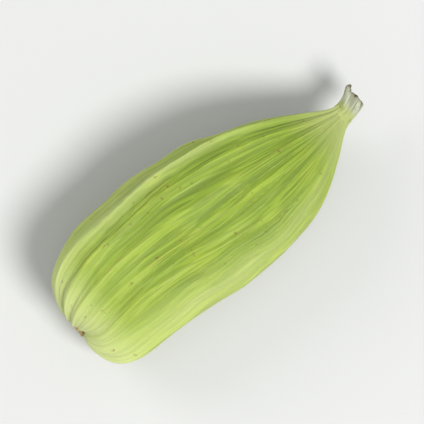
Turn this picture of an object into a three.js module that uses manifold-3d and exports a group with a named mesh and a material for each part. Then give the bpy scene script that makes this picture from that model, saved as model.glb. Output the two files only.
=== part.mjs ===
// A dried green cardamom pod, lying on one of its three faces. The husk, the stump of the flower
// at its pointed end and the scar of the stalk at its blunt end grew as one piece, so they are
// one solid. The seeds inside can't be seen until the husk is opened, so they are left out.
// Millimetres. X runs along the pod towards the flower end and Z is up. The origin is on the
// surface that the pod rests on, under the middle of its bounding box.
import * as THREE from "three";
import { mergeVertices } from "three/addons/utils/BufferGeometryUtils.js";
import Module from "manifold-3d";

const { PI, sin, cos, exp, sqrt } = Math;
const degrees = (value) => (value * PI) / 180;

// The husk's main sizes
const HUSK_LENGTH = 15.8; // from the blunt end to a point just inside the flower stump
const BELLY_RADIUS = 3.34; // mean radius where the husk is thickest
const TIP_RADIUS = 0.16; // at the end of the husk, inside the flower stump
const FLATTENING = 0.97; // height against width, as pods dry a little flat
const RESTING_FLAT_DEPTH = 0.15; // how much of the lowest face is pressed flat
const SIDE_BOW = 0.8; // the blunt half of the pod swings sideways by up to two thirds of this

// Three rounded angles with a face between each two. A keel runs along each angle, and a groove
// along the middle of each face, where a wall between two of the three chambers meets the husk.
const TOP_ANGLE = degrees(90); // the uppermost of the three angles, before it leans
const TOP_LEAN = degrees(-50); // how far it stands off-centre, so one upper face is wider
const ANGLE_RISE = 0.085; // how far the angles stand out, as a share of the radius
const ANGLE_TIGHTNESS = 0.014; // narrows the angles and rounds the faces
const KEEL_HEIGHT = 0.13;
const KEEL_SHARPNESS = 11;
const GROOVE_DEPTH = 0.15;
const GROOVE_SHARPNESS = 5;
const BLUNT_LOBE_DEPTH = 0.4; // the grooves press the blunt end in by this much
const BLUNT_LOBE_LENGTH = 1.6;

// Ribs: bundles of fibre that run from end to end under the dried skin
const RIB_COUNT = 21;
const RIB_HEIGHT = 0.12;
const RIB_NARROWNESS = 1.5;
const COLUMNS_PER_RIB = 7;

// Waves over the skin: turns is how many fit round the pod, and drift is how far each one has
// moved on, in radians, by the pointed end. They make the ribs grow and fade, and wander.
const RIB_MEAN_STRENGTH = 0.74;
const RIB_STRENGTH = [
  { height: 0.2, turns: 7, drift: 1.7, phase: 0.6 },
  { height: 0.16, turns: 5, drift: -3.3, phase: -2.1 },
  { height: 0.14, turns: 11, drift: 4.1, phase: 1.2 },
];
const RIB_WANDER = [
  { height: 0.045, turns: 3, drift: 3.4, phase: 2.1 },
  { height: 0.026, turns: 8, drift: 5.2, phase: 0 },
];

// Seeds press the skin outwards in rows, and drying leaves shallow dents between them
const SEED_PITCH = 3.1;
const SEED_BULGE = 0.06;
const SEED_STAGGER = [
  { height: 2.3, turns: 1, drift: 0, phase: 0.4 },
  { height: 1.2, turns: 2, drift: 0, phase: 1.6 },
];
const DENT_DEPTH = 0.13;
const DENTS = [
  { angle: degrees(62), along: 0.66, width: 0.42, length: 0.13 },
  { angle: degrees(128), along: 0.3, width: 0.36, length: 0.16 },
  { angle: degrees(200), along: 0.62, width: 0.4, length: 0.14 },
  { angle: degrees(350), along: 0.28, width: 0.4, length: 0.15 },
];

// The flower stump: a short papery tube, flared at its torn, hollow mouth
const STUMP_LENGTH = 0.6; // past the husk's length
const STUMP_ROOT = 0.9; // how deep the stump starts inside the husk
const STUMP_RADIUS = 0.5;
const STUMP_MOUTH_RADIUS = 0.66;
const STUMP_WALL = 0.17;
const STUMP_MOUTH_DEPTH = 0.55;
const STUMP_LEAN = 0.1;
const STUMP_COLUMNS = 32;
const STUMP_OUTLINE = [
  { height: 0.1, turns: 2, drift: 0, phase: 0.7 },
  { height: 0.06, turns: 5, drift: 0, phase: 0 },
];
const STUMP_TEARS = [
  { height: 0.07, turns: 3, drift: 0, phase: 1 },
  { height: 0.05, turns: 7, drift: 0, phase: 0 },
];

// The stalk scar: a dimple in the blunt end with the broken stalk standing in it
const SCAR_RADIUS = 0.95;
const SCAR_DEPTH = 0.34;
const STALK_RADIUS = 0.42;
const STALK_HEIGHT = 0.26; // above the bottom of the dimple
const STALK_ROOT = 0.5; // below the bottom of the dimple
const STALK_ROUNDING = 0.07;
const STALK_COLUMNS = 28;
const STALK_OUTLINE = [
  { height: 0.08, turns: 3, drift: 0, phase: 0 },
  { height: 0.06, turns: 7, drift: 0, phase: 1 },
];

const wasm = await Module();
wasm.setup();

// A closed geometry as a solid that can be joined and cut
function solidOf(geometry) {
  geometry.deleteAttribute("normal");
  geometry.deleteAttribute("uv");
  const merged = mergeVertices(geometry, 1e-5);
  return new wasm.Manifold(
    new wasm.Mesh({
      numProp: 3,
      vertProperties: merged.getAttribute("position").array,
      triVerts: new Uint32Array(merged.index.array),
    }),
  );
}

// A solid as a flat-shaded geometry
function geometryOf(solid) {
  const { vertProperties, triVerts } = solid.getMesh();
  const indexed = new THREE.BufferGeometry()
    .setAttribute("position", new THREE.BufferAttribute(vertProperties, 3))
    .setIndex(new THREE.BufferAttribute(triVerts, 1));
  const geometry = indexed.toNonIndexed();
  geometry.computeVertexNormals();
  return geometry;
}

function waveSum(waves, angle, along = 0) {
  let sum = 0;
  for (const { height, turns, drift, phase } of waves) {
    sum += height * sin(turns * angle + drift * along + phase);
  }
  return sum;
}

// A half profile turned about X, with each vertex then placed by a rule. The rule gets the
// distance along X, the radius, the angle from +Y towards +Z and the slope of the surface,
// which is the X part of its outward normal, and returns the point.
const point = (x, radius) => new THREE.Vector2(radius, x);
function turnedAlongX(profile, columns, place) {
  const geometry = new THREE.LatheGeometry(profile, columns);
  const position = geometry.getAttribute("position");
  const normal = geometry.getAttribute("normal");
  for (let i = 0; i < position.count; i++) {
    const column = Math.floor(i / profile.length) % columns;
    const { x: radius, y: x } = profile[i % profile.length];
    position.setXYZ(i, ...place(x, radius, (2 * PI * column) / columns, normal.getY(i)));
  }
  return solidOf(geometry);
}

// The husk's half profile: a blunt end, the belly, and full sides that turn in to the tip
const BELLY_AT = 0.44 * HUSK_LENGTH;
const BLUNT_HALF = new THREE.CubicBezierCurve(
  point(0, 0),
  point(0, 1.08 * BELLY_RADIUS),
  point(0.12 * HUSK_LENGTH, 0.9 * BELLY_RADIUS),
  point(BELLY_AT, BELLY_RADIUS),
);
const POINTED_HALF = new THREE.CubicBezierCurve(
  point(BELLY_AT, BELLY_RADIUS),
  point(0.71 * HUSK_LENGTH, BELLY_RADIUS),
  point(0.82 * HUSK_LENGTH, 0.66 * BELLY_RADIUS),
  point(HUSK_LENGTH, TIP_RADIUS),
);
const BLUNT_STEPS = 14;
const POINTED_STEPS = 16;

// 1 on each angle of the pod and -1 in the middle of each face
const threefold = (angle) => cos(3 * (angle - TOP_ANGLE));
const onKeel = (angle) => exp(-KEEL_SHARPNESS * (1 - threefold(angle)));
const inGroove = (angle) => exp(-GROOVE_SHARPNESS * (1 + threefold(angle)));

// From 0 in the valleys between the ribs to about 1 on the strongest
function ribs(angle, along) {
  const crest = 0.5 + 0.5 * cos(RIB_COUNT * (angle - TOP_ANGLE));
  return (RIB_MEAN_STRENGTH + waveSum(RIB_STRENGTH, angle, along)) * crest ** RIB_NARROWNESS;
}

// Rows of seeds on both sides of each angle, out of step from row to row
function seeds(angle, x) {
  const row = 0.5 - 0.5 * cos(6 * (angle - TOP_ANGLE));
  return row * sin((2 * PI * x) / SEED_PITCH + waveSum(SEED_STAGGER, angle));
}

function dents(angle, along) {
  let depth = 0;
  for (const dent of DENTS) {
    const across = (2 * sin((angle - dent.angle) / 2)) / dent.width;
    const lengthways = (along - dent.along) / dent.length;
    depth += DENT_DEPTH * exp(-across * across - lengthways * lengthways);
  }
  return depth;
}

// The skin, raised and pressed in along the normal of the half profile, then turned and bowed
function skin(x, radius, angle, slope) {
  const along = x / HUSK_LENGTH;
  const girth = radius / BELLY_RADIUS;
  const section =
    ANGLE_RISE * (0.85 + 0.5 * along) * threefold(angle) +
    ANGLE_TIGHTNESS * cos(6 * (angle - TOP_ANGLE));
  const relief =
    girth * (KEEL_HEIGHT * onKeel(angle) - GROOVE_DEPTH * inGroove(angle) - dents(angle, along)) +
    girth ** 2 * SEED_BULGE * seeds(angle, x) +
    girth ** 0.7 * RIB_HEIGHT * (ribs(angle, along) - 0.4);
  const lobe = girth * BLUNT_LOBE_DEPTH * inGroove(angle) * exp(-x / BLUNT_LOBE_LENGTH);
  const r = radius * (1 + section) + relief * sqrt(1 - slope * slope);
  const lean = (TOP_LEAN * (1 + cos(angle - TOP_ANGLE))) / 2;
  const turned = angle + lean + waveSum(RIB_WANDER, angle, along);
  const bow = SIDE_BOW * (1 - along) * sin(1.3 * PI * along);
  return [x + relief * slope + lobe, r * cos(turned) + bow, FLATTENING * r * sin(turned)];
}

function husk() {
  const profile = [
    ...BLUNT_HALF.getPoints(BLUNT_STEPS),
    ...POINTED_HALF.getPoints(POINTED_STEPS).slice(1),
    point(HUSK_LENGTH + 0.3 * TIP_RADIUS, 0),
  ];
  return turnedAlongX(profile, RIB_COUNT * COLUMNS_PER_RIB, skin);
}

// A tube that is slightly oval, with an uneven mouth, and leans to one side
function flowerStump() {
  const mouth = HUSK_LENGTH + STUMP_LENGTH;
  const outside = new THREE.SplineCurve([
    point(HUSK_LENGTH - 0.5 * STUMP_ROOT, 0.9 * STUMP_RADIUS),
    point(HUSK_LENGTH, STUMP_RADIUS),
    point(HUSK_LENGTH + 0.5 * STUMP_LENGTH, 1.15 * STUMP_RADIUS),
    point(mouth, STUMP_MOUTH_RADIUS),
  ]);
  const profile = [
    point(HUSK_LENGTH - STUMP_ROOT, 0),
    ...outside.getPoints(7),
    point(mouth, STUMP_MOUTH_RADIUS - STUMP_WALL),
    point(mouth - 0.4 * STUMP_MOUTH_DEPTH, 1.15 * STUMP_RADIUS - STUMP_WALL),
    point(mouth - STUMP_MOUTH_DEPTH, 0.5 * STUMP_RADIUS),
    point(mouth - STUMP_MOUTH_DEPTH, 0),
  ];
  const place = (x, radius, angle) => {
    const out = Math.max(0, (x - HUSK_LENGTH) / STUMP_LENGTH);
    const r = radius * (1 + out * waveSum(STUMP_OUTLINE, angle));
    const tear = radius > 0 ? out ** 3 * waveSum(STUMP_TEARS, angle) : 0;
    const lean = STUMP_LEAN * out * out;
    return [x + tear, r * cos(angle) + lean, r * sin(angle) - 0.5 * lean];
  };
  return turnedAlongX(profile, STUMP_COLUMNS, place);
}

// What is scooped out of the blunt end, and the broken stalk that stands in it
function scarDimple() {
  const scoop = new THREE.SphereGeometry(SCAR_RADIUS, 32, 16);
  scoop.scale(SCAR_DEPTH / SCAR_RADIUS, 1, FLATTENING);
  return solidOf(scoop);
}

function stalk() {
  const top = SCAR_DEPTH - STALK_HEIGHT;
  const profile = [
    point(top + 0.5 * STALK_ROUNDING, 0),
    point(top, 0.6 * STALK_RADIUS),
    point(top + STALK_ROUNDING, 0.9 * STALK_RADIUS),
    point(SCAR_DEPTH, STALK_RADIUS),
    point(SCAR_DEPTH + STALK_ROOT, STALK_RADIUS),
    point(SCAR_DEPTH + STALK_ROOT, 0),
  ];
  const place = (x, radius, angle) => {
    const r = radius * (1 + waveSum(STALK_OUTLINE, angle));
    return [x, r * cos(angle), FLATTENING * r * sin(angle)];
  };
  return turnedAlongX(profile, STALK_COLUMNS, place);
}

// The slice that is taken off the underside, to leave the small flat the pod rests on
function underside(solid) {
  const { min } = solid.boundingBox();
  const height = BELLY_RADIUS;
  const slab = new THREE.BoxGeometry(3 * HUSK_LENGTH, 3 * HUSK_LENGTH, height);
  slab.translate(0, 0, min[2] + RESTING_FLAT_DEPTH - height / 2);
  return solidOf(slab);
}

const grown = husk().subtract(scarDimple()).add(stalk()).add(flowerStump());
const rested = grown.subtract(underside(grown));

const pod = new THREE.Mesh(
  geometryOf(rested),
  new THREE.MeshStandardMaterial({ color: 0x9db24b, roughness: 0.6, metalness: 0 }),
);
pod.name = "cardamom_pod";
pod.geometry.computeBoundingBox();
const box = pod.geometry.boundingBox;
pod.position.set(-(box.min.x + box.max.x) / 2, -(box.min.y + box.max.y) / 2, -box.min.z);

const object = new THREE.Group();
object.add(pod);
export default object;
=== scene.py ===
import math

import bpy
import numpy as np
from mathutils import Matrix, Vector, noise


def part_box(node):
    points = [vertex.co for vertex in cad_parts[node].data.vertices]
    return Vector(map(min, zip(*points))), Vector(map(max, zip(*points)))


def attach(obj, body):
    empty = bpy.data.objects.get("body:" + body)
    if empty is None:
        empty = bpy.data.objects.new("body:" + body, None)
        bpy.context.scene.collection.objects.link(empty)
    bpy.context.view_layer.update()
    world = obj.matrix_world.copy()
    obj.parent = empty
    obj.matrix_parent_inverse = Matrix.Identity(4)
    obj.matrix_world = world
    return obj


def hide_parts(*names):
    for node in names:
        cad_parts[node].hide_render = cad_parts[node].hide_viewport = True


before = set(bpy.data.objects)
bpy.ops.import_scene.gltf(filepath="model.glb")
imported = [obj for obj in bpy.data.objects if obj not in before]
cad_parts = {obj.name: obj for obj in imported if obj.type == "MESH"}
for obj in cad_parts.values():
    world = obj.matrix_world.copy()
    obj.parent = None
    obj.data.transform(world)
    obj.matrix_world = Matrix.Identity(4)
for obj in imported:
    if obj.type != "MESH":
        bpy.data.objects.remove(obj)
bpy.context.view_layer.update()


# The husk is the dried skin of a three-chambered fruit: thin, tough and full of fibres that run
# from the stalk end to the flower end and stand up as ribs. It shrank on to rows of seeds, and
# it lies on one of its three faces, with the keel between the two upper faces off-centre.
mm = 0.001
husk_length = 15.8 * mm
belly_radius = 3.34 * mm
belly_at = 0.44 * husk_length
tip_radius = 0.16 * mm
neck_radius = 0.46 * mm
flattening = 0.97
side_bow = 0.8 * mm
top_angle = math.pi / 2
top_lean = math.radians(-50)
angle_rise = 0.085
angle_tightness = 0.014
keel_height = 0.13 * mm
keel_sharpness = 11
groove_depth = 0.15 * mm
groove_sharpness = 5
lobe_depth = 0.4 * mm
lobe_length = 1.6 * mm
rib_count = 21
rib_height = 0.12 * mm
rib_narrowness = 1.5
rib_strength = 0.74
rib_zero = 0.4
seed_pitch = 3.1 * mm
seed_bulge = 0.06 * mm
dent_depth = 0.13 * mm
husk_columns = 400
husk_rows = 238


def waves(table, angle, along):
    """Sines over the skin: height, turns round the pod, drift along it and phase of each."""
    total = 0
    for height, turns, drift, phase in table:
        total = total + height * np.sin(turns * angle + drift * along + phase)
    return total


def curve(points, steps):
    """Points of a cubic Bezier curve as rows of x and radius."""
    start, leave, arrive, end = np.array(points)[:, None, :]
    t = np.linspace(0, 1, steps)[:, None]
    return (
        (1 - t) ** 3 * start
        + 3 * (1 - t) ** 2 * t * leave
        + 3 * (1 - t) * t**2 * arrive
        + t**3 * end
    )


def evenly(line, count):
    """The same line with its points at equal distances."""
    steps = np.hypot(*np.diff(line, axis=0).T)
    travelled = np.concatenate([[0], np.cumsum(steps)])
    places = np.linspace(0, travelled[-1], count)
    return np.column_stack([np.interp(places, travelled, line[:, i]) for i in (0, 1)])


def husk_outline():
    """Half of the pod's outline: blunt end, belly, full sides, then a fillet into the neck."""
    blunt = curve(
        [
            (0, 0.02 * mm),
            (0, 1.08 * belly_radius),
            (0.12 * husk_length, 0.9 * belly_radius),
            (belly_at, belly_radius),
        ],
        steps=400,
    )
    pointed = curve(
        [
            (belly_at, belly_radius),
            (0.71 * husk_length, belly_radius),
            (0.82 * husk_length, 0.66 * belly_radius),
            (husk_length, tip_radius),
        ],
        steps=400,
    )
    pointed[:, 1] = (pointed[:, 1] ** 4 + neck_radius**4) ** (1 / 4)
    return evenly(np.vstack([blunt, pointed[1:]]), husk_rows)


def grain(angle, along, around, lengthways, seed):
    """Smooth noise from about -1 to 1 that closes round the pod, with cells of a chosen size."""
    x, y, z = np.broadcast_arrays(
        around * np.cos(angle), around * np.sin(angle), lengthways * along + seed
    )
    points = np.column_stack([x.ravel(), y.ravel(), z.ravel()])
    values = [noise.noise(point) for point in points.tolist()]
    return 2 * np.array(values).reshape(x.shape)


def threefold(angle):
    """1 on each angle of the pod and -1 in the middle of each face."""
    return np.cos(3 * (angle - top_angle))


def keels(angle):
    """1 along the middle of each angle, falling off sharply to 0 on both sides."""
    return np.exp(-keel_sharpness * (1 - threefold(angle)))


def ribs(angle, along):
    """From 0 in the valleys between the ribs to about 1 on the strongest."""
    crest = 0.5 + 0.5 * np.cos(rib_count * (angle - top_angle))
    growth = waves(
        [(0.2, 7, 1.7, 0.6), (0.16, 5, -3.3, -2.1), (0.14, 11, 4.1, 1.2)], angle, along
    )
    return (rib_strength + growth) * crest**rib_narrowness


def leaned(angle):
    """Where an angle of the section comes to lie: the top one leans over, the lowest stays."""
    return angle + top_lean * (1 + np.cos(angle - top_angle)) / 2


def main_relief(angle, along, girth):
    """Keels, grooves, ribs, seed rows and dents, as the solid has them."""
    stagger = waves([(2.3, 1, 0, 0.4), (1.2, 2, 0, 1.6)], angle, 0)
    seed_row = 0.5 - 0.5 * np.cos(6 * (angle - top_angle))
    seeds = seed_row * np.sin(2 * math.pi * along * husk_length / seed_pitch + stagger)
    # Each dent has its angle, its place along the husk, its width and its length
    dents = 0
    for degrees, place, width, length in [
        (62, 0.66, 0.42, 0.13),
        (128, 0.3, 0.36, 0.16),
        (200, 0.62, 0.4, 0.14),
        (350, 0.28, 0.4, 0.15),
    ]:
        across = 2 * np.sin((angle - math.radians(degrees)) / 2) / width
        dents = dents + np.exp(-(across**2) - ((along - place) / length) ** 2)
    grooves = np.exp(-groove_sharpness * (1 + threefold(angle)))
    return (
        girth * (keel_height * keels(angle) - groove_depth * grooves - dent_depth * dents)
        + girth**2 * seed_bulge * seeds
        + girth**0.7 * rib_height * (ribs(angle, along) - rib_zero)
    )


def husk_skin(relief, angle, outline, slope):
    """Places the skin: relief along the outline's normal, then the section, the lean, the bow."""
    x, radius = outline
    along = x / husk_length
    girth = radius / belly_radius
    three = threefold(angle)
    angled = angle_rise * (0.85 + 0.5 * along) * three
    tight = angle_tightness * np.cos(6 * (angle - top_angle))
    lobe = lobe_depth * girth * np.exp(-groove_sharpness * (1 + three) - x / lobe_length)
    r = radius * (1 + angled + tight) + relief * np.sqrt(1 - slope**2)
    wandering = waves([(0.045, 3, 3.4, 2.1), (0.026, 8, 5.2, 0)], angle, along)
    turned = leaned(angle) + wandering
    bow = side_bow * (1 - along) * np.sin(1.3 * math.pi * along)
    return np.stack(
        [
            x + relief * slope + lobe,
            r * np.cos(turned) + bow,
            flattening * r * np.sin(turned),
        ],
        axis=-1,
    )


def closed_surface(name, rings):
    """A mesh from rings of points, closed at both ends by fans."""
    rows, columns, _ = rings.shape
    points = np.vstack([rings.reshape(-1, 3), rings[0].mean(0), rings[-1].mean(0)])
    first, last = rows * columns, rows * columns + 1
    around = np.arange(columns)
    after = (around + 1) % columns
    faces = []
    for row in range(rows - 1):
        low, high = row * columns, (row + 1) * columns
        faces += np.column_stack([low + around, low + after, high + after, high + around]).tolist()
    end = (rows - 1) * columns
    faces += [[first, b, a] for a, b in zip(around.tolist(), after.tolist())]
    faces += [[last, end + a, end + b] for a, b in zip(around.tolist(), after.tolist())]
    mesh = bpy.data.meshes.new(name)
    mesh.from_pydata(points.tolist(), [], faces)
    mesh.shade_smooth()
    piece = bpy.data.objects.new(name, mesh)
    bpy.context.scene.collection.objects.link(piece)
    return piece


def write_on(piece, name, values, rings):
    """Keeps one number, or one vector, for each point of a closed surface."""
    rows, columns = rings
    size = 3 if values.ndim == 3 else 1
    flat = np.broadcast_to(values, (rows, columns, 3) if size == 3 else (rows, columns))
    flat = flat.reshape(-1, size)
    flat = np.vstack([flat, flat[:columns].mean(0), flat[-columns:].mean(0)])
    kind, field = ("FLOAT_VECTOR", "vector") if size == 3 else ("FLOAT", "value")
    attribute = piece.data.attributes.new(name, kind, "POINT")
    attribute.data.foreach_set(field, flat.astype(np.float32).ravel())


# The columns of the mesh stand evenly round the leaned section, at husk_turn. What the relief
# asks for is the angle before the lean, which is looked up among many that go once round.
once_round = np.linspace(0, 2 * math.pi, 2000)
husk_turn = leaned(0) + np.arange(husk_columns) * 2 * math.pi / husk_columns
husk_angle = np.interp(husk_turn, leaned(once_round), once_round)[None, :]
husk_turn = husk_turn[None, :]
outline = husk_outline()
husk_x = outline[:, 0][:, None]
husk_radius = outline[:, 1][:, None]
tangent = np.gradient(outline, axis=0)
tangent = tangent / np.hypot(*tangent.T)[:, None]
husk_slope = -tangent[:, 1][:, None]
husk_along = husk_x / husk_length
husk_girth = husk_radius / belly_radius

# What is too fine for the solid: a sharp vein on each rib and a crease in each valley, lesser
# ribs that come and go, folds, fibres, wrinkles and swellings. Most of it stands out, so a mean
# height is taken off again to keep the husk as thick as the solid.
vein_height = 0.06 * mm
rib_sharpening = 0.02 * mm
crease_depth = 0.05 * mm
lesser_rib_count = 47
lesser_rib_height = 0.055 * mm
fold_height = 0.04 * mm
fibre_height = 0.03 * mm
mean_height = 0.07 * mm
wrinkle_height = 0.022 * mm
swelling_height = 0.05 * mm

crest = 0.5 + 0.5 * np.cos(rib_count * (husk_angle - top_angle))
vein = crest**8
crease_strength = 0.6 + 0.9 * grain(husk_turn, husk_along, around=4, lengthways=4, seed=33)
crease = np.clip(crease_strength, 0, 1) * (1 - crest) ** 10
wander = husk_turn + 0.06 * grain(husk_turn, husk_along, around=2, lengthways=3, seed=11)
lesser_strength = 0.55 + 0.9 * grain(husk_turn, husk_along, around=3, lengthways=2.5, seed=55)
lesser_crest = 0.5 + 0.5 * np.cos(lesser_rib_count * wander)
lesser_ribs = np.clip(lesser_strength, 0, 1) * lesser_crest**2
folds = (1 - np.abs(grain(wander, husk_along, around=7.5, lengthways=2.6, seed=0))) ** 3
fibres = (1 - np.abs(grain(wander, husk_along, around=19, lengthways=4.5, seed=40))) ** 2
patches = np.clip(0.35 + grain(husk_turn, husk_along, around=2.2, lengthways=3, seed=70), 0, 1)
wrinkles = patches * grain(wander, husk_along, around=6, lengthways=40, seed=90)
swellings = grain(husk_turn, husk_along, around=1.6, lengthways=5, seed=120)
husk_ribs = ribs(husk_angle, husk_along)
on_ribs = vein_height * vein + rib_sharpening * (husk_ribs - rib_zero) - crease_depth * crease
between_ribs = lesser_rib_height * lesser_ribs + fold_height * folds + fibre_height * fibres
loose_skin = wrinkle_height * wrinkles + swelling_height * swellings
fine_relief = husk_girth**0.8 * (on_ribs + between_ribs - mean_height) + husk_girth * loose_skin

plain_relief = main_relief(husk_angle, husk_along, husk_girth)
plain_skin = husk_skin(plain_relief, husk_angle, (husk_x, husk_radius), husk_slope)
skin = husk_skin(plain_relief + fine_relief, husk_angle, (husk_x, husk_radius), husk_slope)

# The solid's own box says where the husk lies. Its blunt end and its top are found on the skin.
low, high = (np.array(corner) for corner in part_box("cardamom_pod"))
plain_low = plain_skin.reshape(-1, 3).min(0)
plain_high = plain_skin.reshape(-1, 3).max(0)
into_place = np.array(
    [
        low[0] - plain_low[0],
        (low[1] + high[1] - plain_low[1] - plain_high[1]) / 2,
        high[2] - plain_high[2],
    ]
)

# The dimple that the stalk left in the blunt end
dimple_depth = 0.36 * mm
dimple_radius = 0.8 * mm
in_dimple = np.exp(-((husk_radius / dimple_radius) ** 4)) * (husk_along < 0.2)
skin[..., 0] += dimple_depth * in_dimple

# The lowest face is pressed flat where the pod rests
skin = skin + into_place
skin[..., 2] = np.maximum(skin[..., 2], 0)

# What the finish needs to know: how far each point stands up, the creases for painted shade, the
# pale bands along both sides for painted highlight, and the lie of the skin, with the grain from
# end to end
husk = closed_surface("husk", skin)
husk_rings = (husk_rows, husk_columns)
raised = 0.45 * husk_ribs + 0.2 * vein + 0.25 * lesser_ribs + 0.2 * folds
lay = np.stack(np.broadcast_arrays(np.cos(husk_turn), np.sin(husk_turn), husk_along), axis=-1)
# Painted highlight: pale bands along both sides of the resting pod, near its outline as seen from
# above
painted_rim_highlights = 0
for degrees, width, strength in [(162, 0.34, 1), (18, 0.3, 0.8)]:
    across = 2 * np.sin((husk_turn - math.radians(degrees)) / 2) / width
    painted_rim_highlights = painted_rim_highlights + strength * np.exp(-(across**2))
write_on(husk, "raised", np.clip(raised, 0, 1), husk_rings)
write_on(husk, "crease", crease, husk_rings)
write_on(husk, "fibres", fibres, husk_rings)
write_on(husk, "keels", keels(husk_angle), husk_rings)
write_on(husk, "painted_rim_highlights", painted_rim_highlights, husk_rings)
write_on(husk, "dimple", in_dimple, husk_rings)
write_on(husk, "lay", lay, husk_rings)


class Wire:
    """A socket in a material's node tree. Arithmetic on it adds Math nodes."""

    def __init__(self, tree, socket=None):
        self.tree = tree
        self.socket = socket

    def node(self, kind, settings, sockets, output=0):
        """Adds a node: its settings first, then the values or links of its sockets."""
        made = self.tree.nodes.new(kind)
        for name, setting in settings.items():
            setattr(made, name, setting)
        for name, value in sockets.items():
            if isinstance(value, Wire):
                self.tree.links.new(value.socket, made.inputs[name])
            else:
                made.inputs[name].default_value = value
        return Wire(self.tree, made.outputs[output] if made.outputs else None)

    def math(self, operation, *values):
        return self.node("ShaderNodeMath", {"operation": operation}, dict(enumerate(values)))

    def __add__(self, other):
        return self.math("ADD", self, other)

    __radd__ = __add__

    def __mul__(self, other):
        return self.math("MULTIPLY", self, other)

    __rmul__ = __mul__

    def __pow__(self, other):
        return self.math("POWER", self, other)

    def between(self, low, high):
        """0 at low, 1 at high, and smooth in between. Low may be the greater of the two."""
        sockets = {"Value": self, "From Min": low, "From Max": high}
        return self.node("ShaderNodeMapRange", {"interpolation_type": "SMOOTHSTEP"}, sockets)

    def spread(self, under, over):
        """The colour over, laid on the colour under as thickly as this wire says."""
        sockets = {0: self, 6: under, 7: over}
        return self.node("ShaderNodeMix", {"data_type": "RGBA"}, sockets, output=2)

    def stretch(self, factors):
        """The vector that this wire carries, with each part of it multiplied."""
        settings = {"operation": "MULTIPLY"}
        return self.node("ShaderNodeVectorMath", settings, {0: self, 1: factors})

    def cloud(self, scale, detail, roughness):
        """Noise from 0 to 1 in the coordinates that this wire carries."""
        sockets = {"Vector": self, "Scale": scale, "Detail": detail, "Roughness": roughness}
        return self.node("ShaderNodeTexNoise", {}, sockets)

    def bumps(self, strength, distance):
        """A surface normal for low relief that follows this wire."""
        sockets = {"Strength": strength, "Distance": distance, "Height": self}
        return self.node("ShaderNodeBump", {}, sockets)

    def kept(self, name, output="Fac"):
        """A number or vector that was written on the mesh."""
        return self.node("ShaderNodeAttribute", {"attribute_name": name}, {}, output)


def paint(red, green, blue):
    """A colour as the eye sees it, from 0 to 255, as the light that it reflects."""
    shares = [value / 255 for value in (red, green, blue)]
    return tuple(((s + 0.055) / 1.055) ** 2.4 if s > 0.04045 else s / 12.92 for s in shares) + (1,)


def finish_with(piece, name, sockets_of):
    """Gives a piece its own finish: sockets_of takes a bare wire and returns shader sockets."""
    material = bpy.data.materials.new(name)
    material.use_nodes = True
    tree = material.node_tree
    tree.nodes.clear()
    start = Wire(tree)
    surface = start.node("ShaderNodeBsdfPrincipled", {}, sockets_of(start))
    start.node("ShaderNodeOutputMaterial", {}, {"Surface": surface})
    piece.data.materials.append(material)


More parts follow.
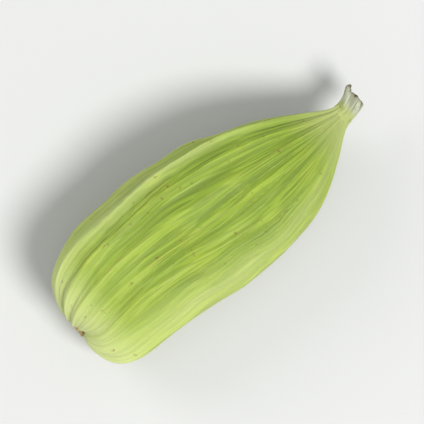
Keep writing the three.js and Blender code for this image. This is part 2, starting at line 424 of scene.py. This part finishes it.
def husk_finish(wire):
    raised = wire.kept("raised")
    fibres = wire.kept("fibres")
    lay = wire.kept("lay", "Vector")
    place = wire.node("ShaderNodeTexCoord", {}, {}, "Object")
    along = wire.node("ShaderNodeSeparateXYZ", {}, {0: lay}, 2)

    # Threads and streaks follow the grain, and blotches and mottle lie across it
    threads = lay.stretch((1, 1, 0.14)).cloud(36, 4, 0.65)
    streaks = lay.stretch((1, 1, 0.3)).cloud(7, 5, 0.7)
    blotches = place.cloud(380, 3, 0.55)
    mottle = place.cloud(2600, 5, 0.65)

    # Moss green in the valleys, yellower and paler on what stands up
    shade = raised.between(0.05, 0.6).spread(paint(130, 155, 46), paint(141, 164, 50))
    shade = (raised.between(0.5, 1) * 0.35).spread(shade, paint(166, 183, 80))
    shade = (blotches.between(0.5, 0.75) * 0.4).spread(shade, paint(160, 168, 56))
    shade = (blotches.between(0.48, 0.25) * 0.5).spread(shade, paint(108, 136, 40))
    shade = (streaks.between(0.52, 0.72) * 0.3).spread(shade, paint(166, 176, 78))
    shade = (streaks.between(0.48, 0.3) * 0.25).spread(shade, paint(104, 128, 32))
    shade = (threads.between(0.53, 0.66) * 0.45).spread(shade, paint(174, 183, 94))
    shade = (threads.between(0.46, 0.34) * 0.45).spread(shade, paint(100, 120, 33))
    shade = (fibres.between(0.55, 0.2) * 0.4).spread(shade, paint(92, 110, 30))
    # Painted shade: darker green along the crease at the bottom of each valley
    shade = (wire.kept("crease") * 0.4).spread(shade, paint(84, 104, 28))

    # Keels and both ends dry paler, in streaks; pale bands along both sides are painted highlight
    worn = wire.kept("keels") ** 2 * along.between(1.3, 0.0) * (0.2 + 0.6 * streaks)
    shade = worn.spread(shade, paint(196, 204, 138))
    # Painted highlight: pale streaky bands along both sides of the outline
    rim_highlight_mask = wire.kept("painted_rim_highlights") * along.between(1.5, 0.0) * (0.25 + 0.7 * streaks)
    shade = rim_highlight_mask.spread(shade, paint(198, 208, 132))
    shade = along.between(0.83, 0.99).spread(shade, paint(164, 174, 104))
    shade = (along.between(0.45, 0.0) * 0.35).spread(shade, paint(172, 190, 84))
    bleached = along.between(0.15, -0.01) * (0.2 + 1.1 * streaks)
    shade = bleached.spread(shade, paint(202, 210, 144))

    # Scuffs, specks and the brown of the dimple
    scuffs = streaks.between(0.53, 0.64) * raised.between(0.4, 0.8) * mottle.between(0.45, 0.6)
    shade = (scuffs * 0.55).spread(shade, paint(178, 158, 88))
    shade = (mottle.between(0.64, 0.7) * 0.6).spread(shade, paint(108, 88, 40))
    shade = (wire.kept("dimple") * 0.8).spread(shade, paint(150, 122, 72))

    return {
        "Base Color": shade,
        "Roughness": 0.5 + 0.22 * mottle,
        "Normal": (0.6 * threads + 0.4 * mottle).bumps(0.9, 0.05 * mm),
        "Specular IOR Level": 0.3,
        "Coat Weight": 0.05,
        "Coat Roughness": 0.4,
        "Sheen Weight": 0.1,
        "Sheen Roughness": 0.45,
        "Sheen Tint": paint(236, 244, 190),
        "Subsurface Weight": 0.1,
        "Subsurface Radius": (0.9, 1.0, 0.3),
        "Subsurface Scale": 0.3 * mm,
    }


finish_with(husk, "dried_husk", husk_finish)
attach(husk, "root")
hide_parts("cardamom_pod")


# The flower stump is what is left of the flower's tube: grey, papery and hollow. It is narrow
# where it leaves the husk, flares a little as it bends to one side, and ends in a torn mouth
# that is brown inside.
stump_columns = 180
stump_rows = 84
stump_length = 0.8 * mm
stump_root = 0.5 * mm
stump_radius = 0.5 * mm
stump_bend = 0.28 * mm
stump_droop = 0.14 * mm
mouth_radius = 0.56 * mm
stump_wall = 0.17 * mm
mouth_depth = 0.55 * mm
vein_swell = 0.05 * mm
crumple_swell = 0.045 * mm


def stump_outline():
    """Up the outside of the tube, over the lip, down the inside and across its floor."""
    mouth = husk_length + stump_length
    outside = curve(
        [
            (husk_length - stump_root, 0.88 * stump_radius),
            (husk_length - 0.1 * stump_root, 0.95 * stump_radius),
            (husk_length + 0.5 * stump_length, 1.05 * stump_radius),
            (mouth, mouth_radius),
        ],
        steps=60,
    )
    lip_centre = mouth_radius - stump_wall / 2
    turn = np.linspace(0, math.pi, 12)[1:-1, None]
    lip = np.hstack(
        [
            mouth + 0.5 * stump_wall * np.sin(turn),
            lip_centre + 0.5 * stump_wall * np.cos(turn),
        ]
    )
    inside = curve(
        [
            (mouth, mouth_radius - stump_wall),
            (mouth - 0.5 * mouth_depth, 1.05 * stump_radius - stump_wall),
            (mouth - 0.9 * mouth_depth, 0.9 * stump_radius - stump_wall),
            (mouth - mouth_depth, 0.03 * mm),
        ],
        steps=50,
    )
    return evenly(np.vstack([outside, lip, inside]), stump_rows)


outline = stump_outline()
stump_angle = (np.arange(stump_columns) * 2 * math.pi / stump_columns)[None, :]
x = outline[:, 0][:, None]
radius = outline[:, 1][:, None]
out = np.clip((x - husk_length) / stump_length, 0, 1)
oval = 1 + out * waves([(0.08, 2, 0, 0.7), (0.04, 5, 0, 0)], stump_angle, 0)

# The edge of the mouth is torn, and the floor of it, near the middle, isn't
ragged = waves([(0.05, 3, 0, 1), (0.035, 7, 0, 0)], stump_angle, 0)
ragged = ragged + 0.05 * grain(stump_angle, 0 * x, around=3.1, lengthways=1, seed=5)
ragged = ragged + 0.02 * grain(stump_angle, 0 * x, around=9, lengthways=1, seed=8)
tears = mm * ragged * out**2 * (radius > 0.3 * stump_radius)

# Veins stand out along the tube, and it crumpled and bent as it dried
veins = (1 - np.abs(grain(stump_angle, x / mm, around=3.4, lengthways=0.5, seed=20))) ** 2
crumple = grain(stump_angle, x / mm, around=1.6, lengthways=2.4, seed=30)
stump_relief = vein_swell * (veins - 0.5) + crumple_swell * crumple * out
stump_r = radius * oval + stump_relief * np.clip(radius / stump_radius, 0, 1)
bend = out**1.6
stump_skin = np.stack(
    [
        x + tears,
        stump_r * np.cos(stump_angle) + stump_bend * bend,
        stump_r * np.sin(stump_angle) - stump_droop * bend,
    ],
    axis=-1,
)
stump = closed_surface("flower_stump", stump_skin + into_place)
stump_rings = (stump_rows, stump_columns)
write_on(stump, "out", out, stump_rings)
write_on(stump, "inward", np.linspace(0, 1, stump_rows)[:, None], stump_rings)
write_on(stump, "veins", veins, stump_rings)


def stump_finish(wire):
    out = wire.kept("out")
    place = wire.node("ShaderNodeTexCoord", {}, {}, "Object")
    mottle = place.cloud(3200, 4, 0.65)
    shade = wire.kept("veins").between(0.1, 0.8).spread(paint(142, 145, 120), paint(180, 184, 160))
    shade = out.between(0.6, 0.0).spread(shade, paint(162, 172, 104))
    shade = (mottle.between(0.5, 0.65) * 0.35).spread(shade, paint(126, 110, 78))
    shade = (out.between(0.85, 1.0) * 0.5 * mottle).spread(shade, paint(112, 94, 66))
    shade = (wire.kept("inward").between(0.55, 0.68) * 0.95).spread(shade, paint(74, 58, 34))
    return {
        "Base Color": shade,
        "Roughness": 0.66 + 0.15 * mottle,
        "Normal": mottle.bumps(0.8, 0.02 * mm),
        "Specular IOR Level": 0.35,
        "Subsurface Weight": 0.15,
        "Subsurface Radius": (1.0, 0.9, 0.6),
        "Subsurface Scale": 0.2 * mm,
    }


finish_with(stump, "torn_papery_tube", stump_finish)
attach(stump, "root")
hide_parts("cardamom_pod")


# The stalk scar is the broken end of the stalk, a short plug of woody fibre that stands in the
# dimple of the blunt end. Its rim is bark, and its face is a rough ring of snapped fibres.
plug_columns = 120
plug_rows = 50
plug_radius = 0.42 * mm
plug_face_at = 0.08 * mm
plug_rim_end = 0.5 * mm
plug_root_at = 0.75 * mm


def plug_outline():
    """From the middle of the broken face out to its edge, then back into the husk."""
    return evenly(
        np.array(
            [
                (plug_face_at + 0.07 * mm, 0.02 * mm),
                (plug_face_at + 0.02 * mm, 0.5 * plug_radius),
                (plug_face_at, 0.75 * plug_radius),
                (plug_face_at + 0.04 * mm, 0.94 * plug_radius),
                (plug_face_at + 0.14 * mm, plug_radius),
                (plug_root_at, 1.05 * plug_radius),
            ]
        ),
        plug_rows,
    )


outline = plug_outline()
plug_angle = (np.arange(plug_columns) * 2 * math.pi / plug_columns)[None, :]
x = outline[:, 0][:, None]
radius = outline[:, 1][:, None]
share = radius / plug_radius
bark = waves([(0.08, 3, 0, 0), (0.06, 7, 0, 1)], plug_angle, 0)
bark = bark + 0.07 * grain(plug_angle, x / mm, around=3, lengthways=0.8, seed=3)
snapped = 0.05 * grain(plug_angle, share, around=2.2, lengthways=6, seed=6)
snapped = snapped + 0.03 * grain(plug_angle, share, around=6, lengthways=15, seed=9)
plug_r = radius * (1 + bark)
plug_skin = np.stack(
    [
        x + mm * snapped * (x < plug_rim_end),
        plug_r * np.cos(plug_angle),
        flattening * plug_r * np.sin(plug_angle),
    ],
    axis=-1,
)
plug = closed_surface("stalk_scar", plug_skin + into_place)
plug_rings = (plug_rows, plug_columns)
write_on(plug, "share", share, plug_rings)
write_on(plug, "depth", (x - plug_face_at) / mm, plug_rings)


def plug_finish(wire):
    place = wire.node("ShaderNodeTexCoord", {}, {}, "Object")
    mottle = place.cloud(5200, 4, 0.7)
    shade = mottle.between(0.4, 0.7).spread(paint(196, 176, 122), paint(128, 98, 58))
    shade = (wire.kept("share").between(0.45, 0.1) * 0.7).spread(shade, paint(92, 68, 38))
    shade = wire.kept("depth").between(0.1, 0.3).spread(shade, paint(150, 140, 84))
    return {
        "Base Color": shade,
        "Roughness": 0.75 + 0.15 * mottle,
        "Normal": mottle.bumps(0.9, 0.03 * mm),
        "Specular IOR Level": 0.3,
    }


finish_with(plug, "snapped_stalk", plug_finish)
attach(plug, "root")
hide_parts("cardamom_pod")


# The surface that the pod lies on is a broad sheet of plain white board, a hair below the
# resting spot so that the two don't share a plane.
board_reach = 1.5
board_gap = 0.01 * mm
corners = [(board_reach * x, board_reach * y, 0) for x, y in [(-1, -1), (1, -1), (1, 1), (-1, 1)]]
board_mesh = bpy.data.meshes.new("board")
board_mesh.from_pydata(corners, [], [(0, 1, 2, 3)])
board = bpy.data.objects.new("board", board_mesh)
board.location = (0, 0, -board_gap)
bpy.context.scene.collection.objects.link(board)


def board_finish(wire):
    return {
        "Base Color": paint(200, 200, 198),
        "Roughness": 0.85,
        "Specular IOR Level": 0.2,
    }


finish_with(board, "plain_board", board_finish)


# Soft studio light: a broad panel overhead on the side of the wide face, a weaker one opposite,
# and pale air all round. Their places are named by the picture's own right and up.
tip_direction = math.radians(39)


def light_panel(name, right, up, height, size, power):
    cosine, sine = math.cos(tip_direction), math.sin(tip_direction)
    lamp = bpy.data.lights.new(name, "AREA")
    lamp.shape = "DISK"
    lamp.size = size
    lamp.energy = power
    panel = bpy.data.objects.new(name, lamp)
    panel.location = (right * cosine + up * sine, up * cosine - right * sine, height)
    panel.rotation_euler = (-panel.location).to_track_quat("-Z", "Y").to_euler()
    panel.visible_camera = False
    bpy.context.scene.collection.objects.link(panel)


light_panel("panel_above", right=0.14, up=-0.12, height=0.33, size=0.14, power=1.4)
light_panel("panel_opposite", right=-0.26, up=0.16, height=0.2, size=0.2, power=0.4)
air = bpy.data.worlds.new("pale_air")
air.use_nodes = True
air.node_tree.nodes["Background"].inputs["Color"].default_value = (0.95, 0.97, 1, 1)
air.node_tree.nodes["Background"].inputs["Strength"].default_value = 0.55
bpy.context.scene.world = air
bpy.context.scene.view_settings.view_transform = "Standard"


# The camera looks straight down, turned so that the pod points up to the right. Its lens is
# long enough for the picture to be a little wider than the pod is long.
camera_height = 0.35
picture_width = 19.5 * mm
lens = bpy.data.cameras.new("camera")
lens.sensor_width = 36
lens.lens = lens.sensor_width * camera_height / picture_width
lens.clip_start = 0.01
lens.clip_end = 10
camera = bpy.data.objects.new("camera", lens)
middle = (low + high) / 2
camera.location = Vector((middle[0], middle[1], camera_height))
camera.rotation_euler = (0, 0, -tip_direction)
bpy.context.scene.collection.objects.link(camera)
bpy.context.scene.camera = camera
